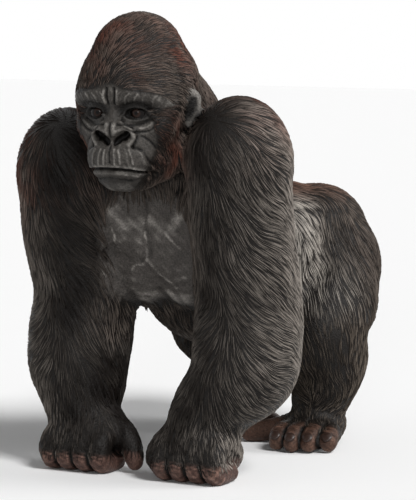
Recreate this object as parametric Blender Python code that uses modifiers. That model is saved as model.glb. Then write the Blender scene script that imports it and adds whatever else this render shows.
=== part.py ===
"""A silverback gorilla standing on its knuckles, cast in one piece of resin.

The figure is made as a sculptor makes the clay original. Overlapping balls and chains of balls
block out the muscles, a voxel remesh fuses them, smoothing softens the joins, and modelling
strokes then raise lips and brows and cut the mouth, the toes and the locks of the coat.

Metres, +Z up. The gorilla looks along -Y and its left side is +X. The origin is on the ground,
under the middle of the figure.
"""

from math import radians

import bmesh
import bpy
import numpy as np
from mathutils import Euler, Matrix, Vector

MM = 0.001

# Stance: places of the joints, before the figure is centred over its origin
SHOULDER_HEIGHT = 0.246
SHOULDER_SPAN = 0.161
SHOULDER_ROLL = 0.0065
SHOULDER_SHIFT = -0.0025
ELBOW_HEIGHT = 0.142
ELBOW_SPAN = 0.154
ELBOW_SHIFT = 0.002
ELBOW_SETBACK = 0.014
FIST_SPAN = 0.105
FIST_SHIFT = -0.0035
WRIST_SHIFT = -0.005
FIST_REACH = 0.010
HIP_HEIGHT = 0.150
HIP_SPAN = 0.098
HIP_SETBACK = 0.216
LEFT_FOOT = (0.052, 0.176)
RIGHT_FOOT = (-0.052, 0.222)
LEFT_TOE_OUT = 8.0
RIGHT_TOE_OUT = 12.0

# Girths: half widths of the big masses
SHOULDER_RADIUS = 0.047
UPPER_ARM_RADIUS = 0.041
ELBOW_RADIUS = 0.0425
FOREARM_RADIUS = 0.0435
WRIST_RADIUS = 0.027
ARM_FLATNESS = 0.92
CHEST_HALF_WIDTH = 0.066
BACK_HEIGHT = 0.225
BELLY_CLEARANCE = 0.091
THIGH_RADIUS = 0.040
SHANK_RADIUS = 0.027

# Head, hand and foot: real sizes of the parts that carry fine modelling
HEAD_WIDTH = 0.080
HEAD_DEPTH = 0.108
HEAD_TALLNESS = 0.150
HEAD_HEIGHT = 0.2975
HEAD_REACH = 0.015
HEAD_TURN = 7.2
HAND_WIDTH = 0.068
FOOT_WIDTH = 0.066
FOOT_LENGTH = 0.088

# The head, hand and foot below are drawn in millimetres at these sizes, and stretched from them
DRAWN_HEAD = (80.0, 108.0, 150.0)
DRAWN_HAND_WIDTH = 68.0
DRAWN_FOOT = (66.0, 88.0)

# Modelling
ROUGH_VOXEL = 0.0024
FINE_VOXEL = 0.0014
SOFTEN_ROUNDS = 26
FACE_STROKE_DEPTH = 0.3
POLISH_ROUNDS = 3
FINE_GROUND_ZONE = 0.026
PLAIN_TRIANGLES = 4900
FINE_TRIANGLES = 3900
BALL_GRAIN = 4

RESIN_COLOUR = (0.035, 0.031, 0.029, 1.0)


def clear_scene():
    """Removes whatever the file held."""
    for old in list(bpy.data.objects):
        bpy.data.objects.remove(old)


def head_frame():
    """From millimetres on the drawn head to the figure, with its origin between the ears."""
    stretch = [real / (drawn * MM) for real, drawn in
               zip((HEAD_WIDTH, HEAD_DEPTH, HEAD_TALLNESS), DRAWN_HEAD)]
    return (Matrix.Translation((0, -HEAD_REACH, HEAD_HEIGHT))
            @ Matrix.Rotation(radians(HEAD_TURN), 4, "Z")
            @ Matrix.Diagonal((*stretch, 1)) @ Matrix.Scale(MM, 4))


def hand_frame(side):
    """From millimetres on a drawn left hand to the figure, with its origin under the fist."""
    size = HAND_WIDTH / DRAWN_HAND_WIDTH
    return (Matrix.Translation((FIST_SHIFT + side * FIST_SPAN / 2, -FIST_REACH, 0))
            @ Matrix.Diagonal((side * size, size, size, 1)))


def foot_frame(side):
    """From millimetres on a drawn left foot to the figure, with its origin under the arch."""
    place, toe_out = (LEFT_FOOT, LEFT_TOE_OUT) if side > 0 else (RIGHT_FOOT, RIGHT_TOE_OUT)
    wide = FOOT_WIDTH / (DRAWN_FOOT[0] * MM)
    long = FOOT_LENGTH / (DRAWN_FOOT[1] * MM)
    return (Matrix.Translation((*place, 0))
            @ Matrix.Rotation(radians(side * toe_out), 4, "Z")
            @ Matrix.Diagonal((side * wide, long, wide, 1)) @ Matrix.Scale(MM, 4))


def unit_ball():
    """Points and triangles of a ball of radius 1."""
    skin = bmesh.new()
    bmesh.ops.create_icosphere(skin, subdivisions=BALL_GRAIN, radius=1)
    points = np.array([v.co for v in skin.verts])
    faces = np.array([[v.index for v in f.verts] for f in skin.faces])
    skin.free()
    return points, faces


BALL_POINTS, BALL_FACES = unit_ball()


def ball(clay, centre, radii, turn=(0, 0, 0), frame=None):
    """Presses an ellipsoid of clay on: its radii along X, Y and Z, turned by degrees."""
    frame = frame or Matrix()
    mirrored = -1 if frame.determinant() < 0 else 1
    turned = Euler([radians(a) for a in turn]).to_matrix().to_4x4()
    place = (frame @ Matrix.Translation(centre) @ turned
             @ Matrix.Diagonal((mirrored * radii[0], *radii[1:], 1)))
    place = np.array(place)
    clay.append(BALL_POINTS @ place[:3, :3].T + place[:3, 3])


def spline(knots, count):
    """count points on a Catmull-Rom curve through the knots, which may hold any coordinates."""
    knots = np.array(knots, float)
    ends = np.vstack([2 * knots[0] - knots[1], knots, 2 * knots[-1] - knots[-2]])
    t = np.linspace(0, len(knots) - 1, count)
    i = np.minimum(t.astype(int), len(knots) - 2)
    t = (t - i)[:, None]
    a, b, c, d = (ends[i + k] for k in range(4))
    return b + 0.5 * t * (c - a + t * (2 * a - 5 * b + 4 * c - d + t * (3 * (b - c) + d - a)))


def limb(clay, stations, links, frame=None, turn=(0, 0, 0)):
    """A chain of balls through stations of x, y, z and a radius, or of x, y, z and three radii."""
    for x, y, z, *radii in spline(stations, links):
        ball(clay, (x, y, z), radii if len(radii) == 3 else radii * 3, turn, frame)


def block_torso(clay):
    """Ribs, belly, back and rump, and the hump that carries the neck."""
    ball(clay, (0, 0.050, 0.200), (CHEST_HALF_WIDTH, 0.060, 0.066))
    ball(clay, (0, 0.034, 0.252), (CHEST_HALF_WIDTH, 0.044, 0.042))
    belly = 0.056
    ball(clay, (0, 0.112, BELLY_CLEARANCE + belly), (0.061, 0.084, belly))
    back = 0.052
    limb(clay, [(0, 0.040, 0.240, 0.060, 0.040, 0.050),
                (0, 0.120, BACK_HEIGHT - back, 0.060, 0.046, back),
                (0, HIP_SETBACK - 0.030, BACK_HEIGHT - back, 0.060, 0.046, back),
                (0, HIP_SETBACK - 0.002, BACK_HEIGHT - back - 0.004, 0.060, 0.042, back)], 16)
    for side in (1, -1):
        ball(clay, (side * 0.034, HIP_SETBACK, BACK_HEIGHT - 0.047), (0.042, 0.046, 0.042))
    for side in (1, -1):
        ball(clay, (side * 0.030, 0.012, 0.208), (0.034, 0.024, 0.036))
        ball(clay, (side * 0.020, 0.046, 0.170), (0.044, 0.048, 0.043))


def block_arm(clay, side):
    """One arm from the deltoid to the wrist. Its sections lie at an angle across the chest."""
    turn = (0, 0, side * 30)
    x, z = SHOULDER_SHIFT + side * SHOULDER_SPAN / 2, SHOULDER_HEIGHT + side * SHOULDER_ROLL
    ball(clay, (x, 0, z), (0.043, 0.040, SHOULDER_RADIUS + 0.006), turn)
    elbow = Vector((ELBOW_SHIFT + side * ELBOW_SPAN / 2, ELBOW_SETBACK, ELBOW_HEIGHT))
    fist = Vector((FIST_SHIFT + side * FIST_SPAN / 2, -FIST_REACH, 0.046))
    wrist = (elbow + fist) / 2 + Vector((WRIST_SHIFT, 0, 0))
    upper, fore = UPPER_ARM_RADIUS, FOREARM_RADIUS
    limb(clay, [(x, 0, z, upper, upper * ARM_FLATNESS, upper),
                (x, 0.004, z - 0.045, upper, upper * ARM_FLATNESS, upper),
                (*elbow, ELBOW_RADIUS, ELBOW_RADIUS * 0.95, ELBOW_RADIUS),
                (elbow.x + side * 0.001, elbow.y - 0.004, elbow.z - 0.034, fore, fore * 0.98, fore),
                (elbow.x, elbow.y - 0.010, elbow.z - 0.058, fore * 0.95, fore * 0.94, fore * 0.8),
                (wrist.x, wrist.y, 0.062, fore * 0.82, fore * 0.80, WRIST_RADIUS),
                (fist.x + side * 0.005 + WRIST_SHIFT, fist.y + 0.003, fist.z,
                 WRIST_RADIUS * 1.05, WRIST_RADIUS, WRIST_RADIUS)], 30, turn=turn)


def block_leg(clay, side):
    """One hind leg from the buttock to the ankle."""
    foot = LEFT_FOOT if side > 0 else RIGHT_FOOT
    hip = Vector((side * HIP_SPAN / 2, HIP_SETBACK, HIP_HEIGHT))
    ankle = Vector((foot[0], foot[1] + 0.010, 0.034))
    knee = Vector((foot[0] + side * 0.007, (hip.y + ankle.y) / 2 - 0.030, 0.096))
    ball(clay, hip, (0.041, 0.044, 0.050))
    ball(clay, hip + Vector((side * 0.002, -0.004, -0.030)), (0.038, 0.044, 0.044))
    thigh = (hip + knee) / 2 + Vector((side * 0.004, 0, 0))
    shank = (knee + ankle) / 2 + Vector((side * 0.004, 0.010, 0.008))
    limb(clay, [(*hip, THIGH_RADIUS), (*thigh, THIGH_RADIUS), (*knee, THIGH_RADIUS * 0.90)], 12)
    limb(clay, [(*knee, THIGH_RADIUS * 0.88), (*shank, SHANK_RADIUS * 1.25),
                (*ankle, SHANK_RADIUS * 0.88)], 10)


def block_head(clay):
    """Skull, crest, jaws and neck, in millimetres on the drawn head."""
    head = head_frame()
    limb(clay, [(0, 0.036, 0.250, 0.050), (0, 0.014, HEAD_HEIGHT - 0.014, 0.046),
                (0, -0.006, HEAD_HEIGHT + 0.002, 0.038)], 8)
    ball(clay, (0, -8, 18), (45, 57, 40), frame=head)
    ball(clay, (0, -11, 39), (34, 45, 34), (6, 0, 0), head)
    ball(clay, (0, 14, 16), (30, 34, 42), (-22, 0, 0), head)
    ball(clay, (0, -40, -14), (27, 20, 24), frame=head)
    ball(clay, (0, -43, -38), (29, 24, 21), frame=head)
    ball(clay, (0, -40, -53), (22, 20, 14), frame=head)
    ball(clay, (0, -20, -44), (27, 30, 24), frame=head)
    for side in (1, -1):
        ball(clay, (side * 29.5, -24, 8), (14, 28, 24), frame=head)
        ball(clay, (side * 29, -32, -14), (13, 18, 17), frame=head)
        ball(clay, (side * 23, -12, -30), (14, 30, 30), frame=head)


def model_hand(clay, side):
    """A fist on its knuckles, in millimetres on the drawn left hand: x runs out, -y forward."""
    hand = hand_frame(side)
    ball(clay, (0, 3, 34), (32, 25, 24), frame=hand)
    ball(clay, (0, -9, 29), (31, 19, 19), frame=hand)
    ball(clay, (0, 14, 20), (29, 20, 21), frame=hand)
    for k in range(4):
        x = 15.6 * k - 23.4
        limb(clay, [(x * 0.92, -8, 34, 9), (x * 0.98, -19, 25, 9.6), (x, -21, 14, 9.8),
                    (x, -14, 7, 8.8), (x, 4, 7, 8.4)], 10, hand)
    if side < 0:
        limb(clay, [(-20, 6, 38, 10), (-32, 2, 32, 9.8), (-41, -1, 21, 9), (-45, -2, 9, 7.8)],
             10, hand)
    else:
        limb(clay, [(-14, 4, 44, 10), (-25, -2, 35, 10), (-31, -12, 25, 9), (-31, -20, 17, 7.5)],
             10, hand)


def model_foot(clay, side):
    """A flat foot, in millimetres on the drawn left foot: x runs out, -y forward."""
    foot = foot_frame(side)
    ball(clay, (0, 28, 14), (19, 20, 18), frame=foot)
    ball(clay, (0, 6, 17), (25, 28, 19), frame=foot)
    ball(clay, (2, -14, 12), (28, 18, 14), frame=foot)
    for k, reach in enumerate((2, 6, 3, -4)):
        x = 13.6 * k - 17
        limb(clay, [(x, -16, 15, 7.8), (x * 1.06, -28 - reach, 16, 7.9),
                    (x * 1.08, -37 - reach, 10, 7.8), (x * 1.08, -38 - reach, 7, 7.4)], 8, foot)
    limb(clay, [(-12, 6, 16, 12), (-32, 0, 12, 10.5), (-48, -3, 9, 9.4), (-56, -6, 7.5, 8.4)],
         8, foot)


def model_face(clay):
    """Brow, eyes, nose, lips and ears, in millimetres on the drawn head."""
    head = head_frame()
    limb(clay, [(-38, -37, 3, 4), (-29, -49, 9, 7), (-14, -57, 10.5, 7.5), (0, -58, 8, 6.5),
                (14, -57, 10.5, 7.5), (29, -49, 9, 7), (38, -37, 3, 4)], 27, head)
    for side in (1, -1):
        ball(clay, (side * 16.4, -46.5, -4.5), (8, 7.6, 8), frame=head)
        limb(clay, [(side * 3.5, -62, -15, 4), (side * 10, -60, -15, 4.6),
                    (side * 15.5, -56.5, -20, 4.6), (side * 15.5, -55, -27, 4),
                    (side * 9, -58, -31, 3)], 18, head)
        limb(clay, [(side * 39, -16, -12, 2.4), (side * 41, -17, 0, 2.3), (side * 43, -14, 9, 2.4),
                    (side * 47, -10, 12, 2.6), (side * 50, -6, 8, 2.6), (side * 50, -6, -1, 2.5),
                    (side * 46, -8, -9, 2.8), (side * 40.5, -11, -15, 3.4)], 28, head)
        ball(clay, (side * 43, -5, -1), (5.5, 8.5, 12.5), (0, 0, side * 35), head)
    ball(clay, (0, -55.5, -21), (14, 9, 9), frame=head)
    limb(clay, [(0, -57, -5, 5), (0, -61, -14, 4.6), (0, -63, -22, 3), (0, -61, -31, 2.6)], 12, head)


def model_face_strokes(points, normals):
    """Lips, lids, nostrils and the folds of the face, in millimetres on the drawn head."""
    def mark(knots, width, height):
        stroke(points, normals, knots, width, height, head_frame(), FACE_STROKE_DEPTH)

    mark([(-23, -50, -44), (-12, -60, -43), (0, -64, -42.5), (12, -60, -43), (22, -50, -46)], 2.8, 0.7)
    mark([(-18, -50, -52), (-10, -58, -51.2), (0, -62, -51), (10, -58, -51.8), (18, -50, -54)],
         2.4, 1.2)
    mark([(-26, -46, -49.5), (-14, -59, -47.6), (0, -64, -47.2), (14, -59, -48.4), (26, -44, -52.5)],
         1.9, -2.6)
    for side in (1, -1):
        mark([(side * 3.5, -62, -26), (side * 8, -61, -23), (side * 12.5, -58.5, -20.5)], 2.6, -5)
        mark([(side * 3, -64, 14), (side * 3.4, -64, 3)], 1.6, -1.1)
        mark([(side * 8.5, -53, -6), (side * 12.5, -56, 0.2), (side * 19, -55, 0.4),
              (side * 25.5, -50, -4.5)], 1.4, 1.4)
        mark([(side * 8.5, -53, -6), (side * 12.5, -55, -9), (side * 19, -54.4, -9.4),
              (side * 25.5, -50, -4.5)], 1.4, 1.4)
        mark([(side * 33, -42, -7), (side * 26, -50, -13), (side * 16, -54, -14.5),
              (side * 9, -57, -12)], 1.4, -1.1)
        mark([(side * 15, -58, -32), (side * 22, -52, -34), (side * 26, -46, -40)], 1.6, -1.0)


def sink_eye_sockets(points, normals):
    """Presses the sockets into the rough face, in millimetres on the drawn head."""
    head = head_frame()
    for side in (1, -1):
        stroke(points, normals, [(side * 12, -54, -4), (side * 23, -50, -5)], 6.5, -4.5, head)


def model_body_strokes(points, normals):
    """The breastbone, the breast and flank folds, and the creases between thigh and belly."""
    body = points, normals
    stroke(*body, [(0.0, -0.014, 0.262), (-0.001, -0.020, 0.220), (0.0, -0.006, 0.180)],
           0.0045, -0.0030)
    for side in (1, -1):
        stroke(*body, [(side * 0.004, -0.012, 0.180), (side * 0.024, -0.012, 0.170),
                       (side * 0.048, 0.000, 0.180)], 0.0045, -0.0030)
        stroke(*body, [(side * 0.060, HIP_SETBACK - 0.048, BACK_HEIGHT - 0.014),
                       (side * 0.068, HIP_SETBACK - 0.052, BACK_HEIGHT - 0.050),
                       (side * 0.066, HIP_SETBACK - 0.050, BACK_HEIGHT - 0.085),
                       (side * 0.056, HIP_SETBACK - 0.066, BACK_HEIGHT - 0.120)], 0.0060, -0.0040)


def worked(mesh, *steps):
    """Moves the points of a mesh by modelling steps, each given the points and their normals."""
    points = np.empty(len(mesh.vertices) * 3, np.float32)
    normals = points.copy()
    mesh.vertices.foreach_get("co", points)
    mesh.vertices.foreach_get("normal", normals)
    points, normals = points.reshape(-1, 3).astype(float), normals.reshape(-1, 3).astype(float)
    for step in steps:
        step(points, normals)
    mesh.vertices.foreach_set("co", points.astype(np.float32).ravel())
    mesh.update()


def fused(name, clay, voxel, rounds, core=None):
    """The balls of clay, and a core, as one closed skin of this grain smoothed by these rounds."""
    points = np.concatenate(clay)
    faces = np.concatenate([BALL_FACES + k * len(BALL_POINTS) for k in range(len(clay))])
    balls = bpy.data.meshes.new(name)
    balls.from_pydata(points, [], faces)
    lumps = bmesh.new()
    lumps.from_mesh(balls)
    if core:
        lumps.from_mesh(core)
    lumps.to_mesh(balls)
    lumps.free()
    lump = bpy.data.objects.new(name, balls)
    bpy.context.scene.collection.objects.link(lump)
    remesh = lump.modifiers.new("fuse", "REMESH")
    remesh.mode = "VOXEL"
    remesh.voxel_size = voxel
    smooth = lump.modifiers.new("soften", "SMOOTH")
    smooth.factor = 0.5
    smooth.iterations = rounds
    return evaluated_mesh(lump)


def evaluated_mesh(lump):
    """The mesh that an object's modifiers make, and the object itself is removed."""
    graph = bpy.context.evaluated_depsgraph_get()
    mesh = bpy.data.meshes.new_from_object(lump.evaluated_get(graph))
    bpy.data.objects.remove(lump)
    return mesh


def stroke(points, normals, knots, width, height, frame=None, depth=1.0):
    """Raises a soft ridge along a curve through the knots, or cuts a groove if height is negative.

    A point moves along its normal by height * exp(-(distance / width) ** 2). Distances are in the
    frame's units, and those along its Y count by the share depth, so that a curve drawn a little
    off a bulging face still reaches it."""
    frame = np.array(frame or Matrix())
    squeeze = np.array((1.0, depth, 1.0))
    local = (points - frame[:3, 3]) @ np.linalg.inv(frame[:3, :3]).T * squeeze
    path = spline(knots, 4 * len(knots)) * squeeze
    near = np.all((local > path.min(0) - 3 * width) & (local < path.max(0) + 3 * width), axis=1)
    some = local[near]
    distance = np.full(len(some), np.inf)
    for a, b in zip(path, path[1:]):
        along = np.clip((some - a) @ (b - a) / max((b - a) @ (b - a), 1e-12), 0, 1)
        distance = np.minimum(distance, np.linalg.norm(some - a - along[:, None] * (b - a), axis=1))
    unit = abs(np.linalg.det(frame[:3, :3])) ** (1 / 3)
    points[near] += normals[near] * (height * unit * np.exp(-(distance / width) ** 2))[:, None]


def fine_places(mesh):
    """Which points lie on the face and ears, or on hands and feet near the ground."""
    points = np.array([v.co for v in mesh.vertices])
    face = np.array(head_frame() @ Vector((0, -46, -18)))
    near_face = np.linalg.norm(points - face, axis=1) < HEAD_TALLNESS / 3
    return near_face | (points[:, 2] < FINE_GROUND_ZONE)


def thinned(mesh, places, spare):
    """Collapses edges at the marked points, until this many triangles lie there."""
    mesh.calc_loop_triangles()
    corners = np.array([t.vertices for t in mesh.loop_triangles])
    there = places[corners].all(axis=1).sum()
    lump = bpy.data.objects.new("gorilla", mesh)
    bpy.context.scene.collection.objects.link(lump)
    group = lump.vertex_groups.new(name="thinned places")
    group.add(np.flatnonzero(places).tolist(), 1.0, "REPLACE")
    thin = lump.modifiers.new("thin", "DECIMATE")
    thin.ratio = 1 - max(there - spare, 0) / len(corners)
    thin.use_collapse_triangulate = True
    thin.vertex_group = group.name
    return evaluated_mesh(lump)


def finish(mesh):
    """Thins the skin to its triangle budgets, cuts its soles flat and centres it over the origin."""
    mesh = thinned(mesh, ~fine_places(mesh), PLAIN_TRIANGLES)
    mesh = thinned(mesh, fine_places(mesh), FINE_TRIANGLES)
    skin = bmesh.new()
    skin.from_mesh(mesh)
    everything = skin.verts[:] + skin.edges[:] + skin.faces[:]
    bmesh.ops.bisect_plane(skin, geom=everything, plane_co=(0, 0, 0), plane_no=(0, 0, 1),
                           clear_inner=True)
    rims = [edge for edge in skin.edges if edge.is_boundary]
    bmesh.ops.holes_fill(skin, edges=rims, sides=0)
    bmesh.ops.recalc_face_normals(skin, faces=skin.faces)
    points = np.array([v.co for v in skin.verts])
    middle = (points.min(axis=0) + points.max(axis=0)) / 2
    bmesh.ops.translate(skin, verts=skin.verts, vec=(-middle[0], -middle[1], 0))
    print(f"Drawn around ({middle[0]:.4f}, {middle[1]:.4f}), and moved over the origin")
    mesh = bpy.data.meshes.new("gorilla")
    skin.to_mesh(mesh)
    skin.free()
    mesh.shade_smooth()
    return mesh


def make_gorilla():
    """Blocks out the body, adds the finely modelled parts and works the strokes over them."""
    blocks = []
    block_torso(blocks)
    block_head(blocks)
    for side in (1, -1):
        block_arm(blocks, side)
        block_leg(blocks, side)
    rough = fused("rough", blocks, ROUGH_VOXEL, SOFTEN_ROUNDS)
    worked(rough, sink_eye_sockets, model_body_strokes)
    details = []
    model_face(details)
    for side in (1, -1):
        model_hand(details, side)
        model_foot(details, side)
    mesh = fused("fine", details, FINE_VOXEL, POLISH_ROUNDS, rough)
    worked(mesh, model_face_strokes)
    return finish(mesh)


def resin():
    """Cast resin, painted near black."""
    material = bpy.data.materials.new("painted cast resin")
    material.use_nodes = True
    shader = material.node_tree.nodes["Principled BSDF"]
    shader.inputs["Base Color"].default_value = RESIN_COLOUR
    shader.inputs["Roughness"].default_value = 0.6
    return material


def main():
    clear_scene()
    collection = bpy.data.collections.new("gorilla figurine")
    bpy.context.scene.collection.children.link(collection)
    gorilla = bpy.data.objects.new("gorilla", make_gorilla())
    gorilla.data.materials.append(resin())
    collection.objects.link(gorilla)


main()
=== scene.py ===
# %% [markdown]
# # A silverback gorilla, hand-painted on cast resin
#
# The real figurine is one hollow casting. A sculptor cuts its coat strand by strand into clay, a
# factory casts it, and painters lay a near-black base over it and drag a nearly dry brush of grey
# and rust across the top, so that only the raised strands catch the paint. This lesson does the
# same work in the same order: skin first, then the carved face, then the coat, then the paint.

# %% Load the frame
from math import cos, radians, sin

import bmesh
import bpy
import numpy as np
from mathutils import Matrix, Vector
from mathutils.bvhtree import BVHTree
from mathutils.kdtree import KDTree


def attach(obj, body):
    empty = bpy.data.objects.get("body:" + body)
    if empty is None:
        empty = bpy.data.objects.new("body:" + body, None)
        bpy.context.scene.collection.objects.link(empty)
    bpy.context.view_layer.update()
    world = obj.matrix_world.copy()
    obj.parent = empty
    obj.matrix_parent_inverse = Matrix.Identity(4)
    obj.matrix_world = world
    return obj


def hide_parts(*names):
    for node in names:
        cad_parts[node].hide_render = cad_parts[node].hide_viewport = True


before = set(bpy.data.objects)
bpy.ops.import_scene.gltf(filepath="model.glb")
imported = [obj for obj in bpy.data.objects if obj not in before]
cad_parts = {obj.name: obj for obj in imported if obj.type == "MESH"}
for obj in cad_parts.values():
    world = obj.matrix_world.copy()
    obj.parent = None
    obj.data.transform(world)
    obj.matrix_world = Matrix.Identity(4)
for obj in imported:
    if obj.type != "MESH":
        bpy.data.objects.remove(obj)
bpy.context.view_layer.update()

MM = 0.001

# %% [markdown]
# ## Where things are on the figure
#
# The figure was drawn with its shoulders over the origin and then centred, so places on it are
# named here from the same drawing and moved by the same step. The head has a frame of its own in
# millimetres: x to the gorilla's left, y back, z up, from a point between the ears. Areas are ovals
# and boxes, soft edges come from a smooth step, and what looks worked by hand from a ripple.

# %% Places on the figure
DRAWING_TO_FRAME = Vector((0.0010, -0.0940, 0.0))
HEAD = (Matrix.Translation(DRAWING_TO_FRAME + Vector((0, -0.015, 0.2975)))
        @ Matrix.Rotation(radians(7.2), 4, "Z") @ Matrix.Scale(MM, 4))
FISTS = {1: (0.049, -0.010), -1: (-0.056, -0.010)}
FEET = {1: (0.052, 0.176, 8.0), -1: (-0.052, 0.222, 12.0)}


def hand_frame(side):
    """From millimetres on a drawn left fist to the figure: x runs out, -y forward, z up."""
    x, y = FISTS[side]
    return (Matrix.Translation(DRAWING_TO_FRAME + Vector((x, y, 0)))
            @ Matrix.Diagonal((side * MM, MM, MM, 1)))


def foot_frame(side):
    """From millimetres on a drawn left foot to the figure: x runs out, -y forward, z up."""
    x, y, toe_out = FEET[side]
    return (Matrix.Translation(DRAWING_TO_FRAME + Vector((x, y, 0)))
            @ Matrix.Rotation(radians(side * toe_out), 4, "Z")
            @ Matrix.Diagonal((side * MM, MM, MM, 1)))


def into(place, points):
    """Points in metres as a frame's own millimetres: p = inverse(place) q."""
    inverse = np.array(place.inverted())
    return points @ inverse[:3, :3].T + inverse[:3, 3]


def on_drawing(points):
    """Points in metres as millimetres on the drawing, with the shoulders over the origin."""
    return (points - np.array(DRAWING_TO_FRAME)) / MM


def smoothstep(low, high, value):
    """0 below low, 1 above high, and 3t^2 - 2t^3 between them; low may be the larger."""
    t = np.clip((value - low) / (high - low), 0, 1)
    return t * t * (3 - 2 * t)


def folded(points):
    """Places on the right half laid onto the left half: (|x|, y, z)."""
    return np.column_stack([np.abs(points[:, 0]), points[:, 1:]])


def oval(points, middle, radii):
    """Below 1 inside an ellipsoid and its mirror image: |(folded - middle) / radii|^2."""
    return (((folded(points) - middle) / radii) ** 2).sum(axis=1)


def in_box(points, middle, halves):
    """True inside a box, given by its middle and half its sides, and inside its mirror image."""
    return (np.abs(folded(points) - middle) < halves).all(axis=1)


def ripple(points, size):
    """A smooth, patchy value from about -1 to 1: the mean of sines in five odd directions."""
    turns = points @ np.random.default_rng(7).normal(size=(5, 3)).T * (2 / size)
    return np.sin(turns + np.arange(5) * 1.7).mean(axis=1) * 1.6


print("The head's frame starts at, in millimetres:", [round(v / MM, 1) for v in HEAD.translation])

# %% [markdown]
# ## The skin
#
# A casting has no seams or pieces, so one closed mesh is right. The CAD solid has the form but only
# eleven thousand triangles. A voxel remesh gives it even quads, smoothing takes off the facets, and
# the face, hands and feet are divided further, because they carry the finest carving.

# %% Remesh the casting
SKIN_VOXEL = 2.8 * MM
SOFTEN_ROUNDS = 4


def evaluated(obj):
    """The mesh that an object's modifiers make. The object itself is removed."""
    graph = bpy.context.evaluated_depsgraph_get()
    mesh = bpy.data.meshes.new_from_object(obj.evaluated_get(graph))
    bpy.data.objects.remove(obj)
    return mesh


def even_skin(node):
    """A merged copy of a CAD node as even quads, softened."""
    merged = bmesh.new()
    merged.from_mesh(node.data)
    bmesh.ops.remove_doubles(merged, verts=merged.verts, dist=0.01 * MM)
    mesh = bpy.data.meshes.new("skin")
    merged.to_mesh(mesh)
    merged.free()
    skin = bpy.data.objects.new("skin", mesh)
    bpy.context.scene.collection.objects.link(skin)
    remesh = skin.modifiers.new("even quads", "REMESH")
    remesh.mode = "VOXEL"
    remesh.voxel_size = SKIN_VOXEL
    smooth = skin.modifiers.new("soften", "SMOOTH")
    smooth.iterations = SOFTEN_ROUNDS
    return evaluated(skin)


skin_mesh = even_skin(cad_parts["gorilla"])
print("Even skin:", len(skin_mesh.vertices), "points")

# %% [markdown]
# The sculptor spends most time on the bare skin: face, ears, breast, fists and toes. Small tests say
# whether points lie there. They are boxes in the frames of head and drawing, which is enough, because
# nothing else of the figure comes near.

# %% Where the skin is carved
FACE_SPAN = 34.0
HAND_TOP = 40.0
FOOT_TOP = 26.0
EARS = ((44, -9, 0), (9, 16, 20))


def face_points(points):
    """Points on the bare face and the skin close round it."""
    x, y, z = into(HEAD, points).T
    return (y < -26) & (np.abs(x) < FACE_SPAN + 6) & (z > -70) & (z < 24)


def fine_face_points(points):
    """Points on eyes, nose and lips."""
    x, y, z = into(HEAD, points).T
    return (y < -38) & (np.abs(x) < FACE_SPAN) & (z > -62) & (z < 18)


def hand_and_foot_points(points):
    """Points on the fronts of fists and feet and on the leathery breast."""
    x, y, z = on_drawing(points).T
    hands = (y < 10) & (z < HAND_TOP)
    feet = (y > 120) & (z < FOOT_TOP)
    breast = (y < 8) & (np.abs(x) < 46) & (z > 128) & (z < 228)
    return hands | feet | breast


def ear_points(points):
    """Points on both ears and close round them."""
    return in_box(into(HEAD, points), *EARS)


def coordinates(mesh, layer="co"):
    """Points, or their normals, as an array of rows."""
    values = np.empty(3 * len(mesh.vertices), np.float32)
    mesh.vertices.foreach_get(layer, values)
    return values.reshape(-1, 3).astype(float)


points = coordinates(skin_mesh)
carved_areas = face_points(points) | hand_and_foot_points(points) | ear_points(points)
print("Carved areas hold", int(carved_areas.sum()), "of", len(points), "points")

# %% [markdown]
# The finest carving is a fraction of a millimetre deep, so quads there are halved once or twice.
# Where fine quads meet coarse ones, Blender fills in triangles, and the skin stays closed. Under the
# coat the skin hardly shows. Decimate can be kept to a vertex group, so it thins the skin there
# first, and the ears keep their quads.

# %% Thin the coated skin, divide the face, hands and feet
COATED_TRIANGLES = 40000
RELAX_ROUNDS = 2


def place_points(mesh, points):
    """Moves the points of a mesh."""
    mesh.vertices.foreach_set("co", points.astype(np.float32).ravel())
    mesh.update()


def divide(mesh, where):
    """Halves the edges whose ends both lie where the test says."""
    chosen = where(coordinates(mesh))
    skin = bmesh.new()
    skin.from_mesh(mesh)
    skin.verts.ensure_lookup_table()
    edges = [e for e in skin.edges if chosen[e.verts[0].index] and chosen[e.verts[1].index]]
    bmesh.ops.subdivide_edges(skin, edges=edges, cuts=1, use_grid_fill=True)
    skin.to_mesh(mesh)
    skin.free()


def relaxed(mesh, points, rounds):
    """Points after rounds of moving towards the mean of their neighbours: p += (mean - p) / 2."""
    edges = np.empty(2 * len(mesh.edges), np.int64)
    mesh.edges.foreach_get("vertices", edges)
    a, b = edges.reshape(-1, 2).T
    count = np.maximum(np.bincount(np.append(a, b), minlength=len(points)), 1)[:, None]
    points = points.copy()
    for _ in range(rounds):
        total = np.zeros_like(points)
        for axis in range(points.shape[1]):
            total[:, axis] += np.bincount(a, points[b, axis], len(points))
            total[:, axis] += np.bincount(b, points[a, axis], len(points))
        points += (total / count - points) / 2
    return points


def thinned(mesh, places, spare):
    """The mesh with about this many triangles left at the chosen points."""
    mesh.calc_loop_triangles()
    corners = places[np.array([t.vertices for t in mesh.loop_triangles])]
    skin = bpy.data.objects.new("skin", mesh)
    bpy.context.scene.collection.objects.link(skin)
    group = skin.vertex_groups.new(name="coated")
    group.add(np.flatnonzero(places).tolist(), 1.0, "REPLACE")
    thin = skin.modifiers.new("thin", "DECIMATE")
    thin.ratio = 1 - (corners.all(axis=1).sum() - spare) / len(corners)
    thin.vertex_group = group.name
    return evaluated(skin)


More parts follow.
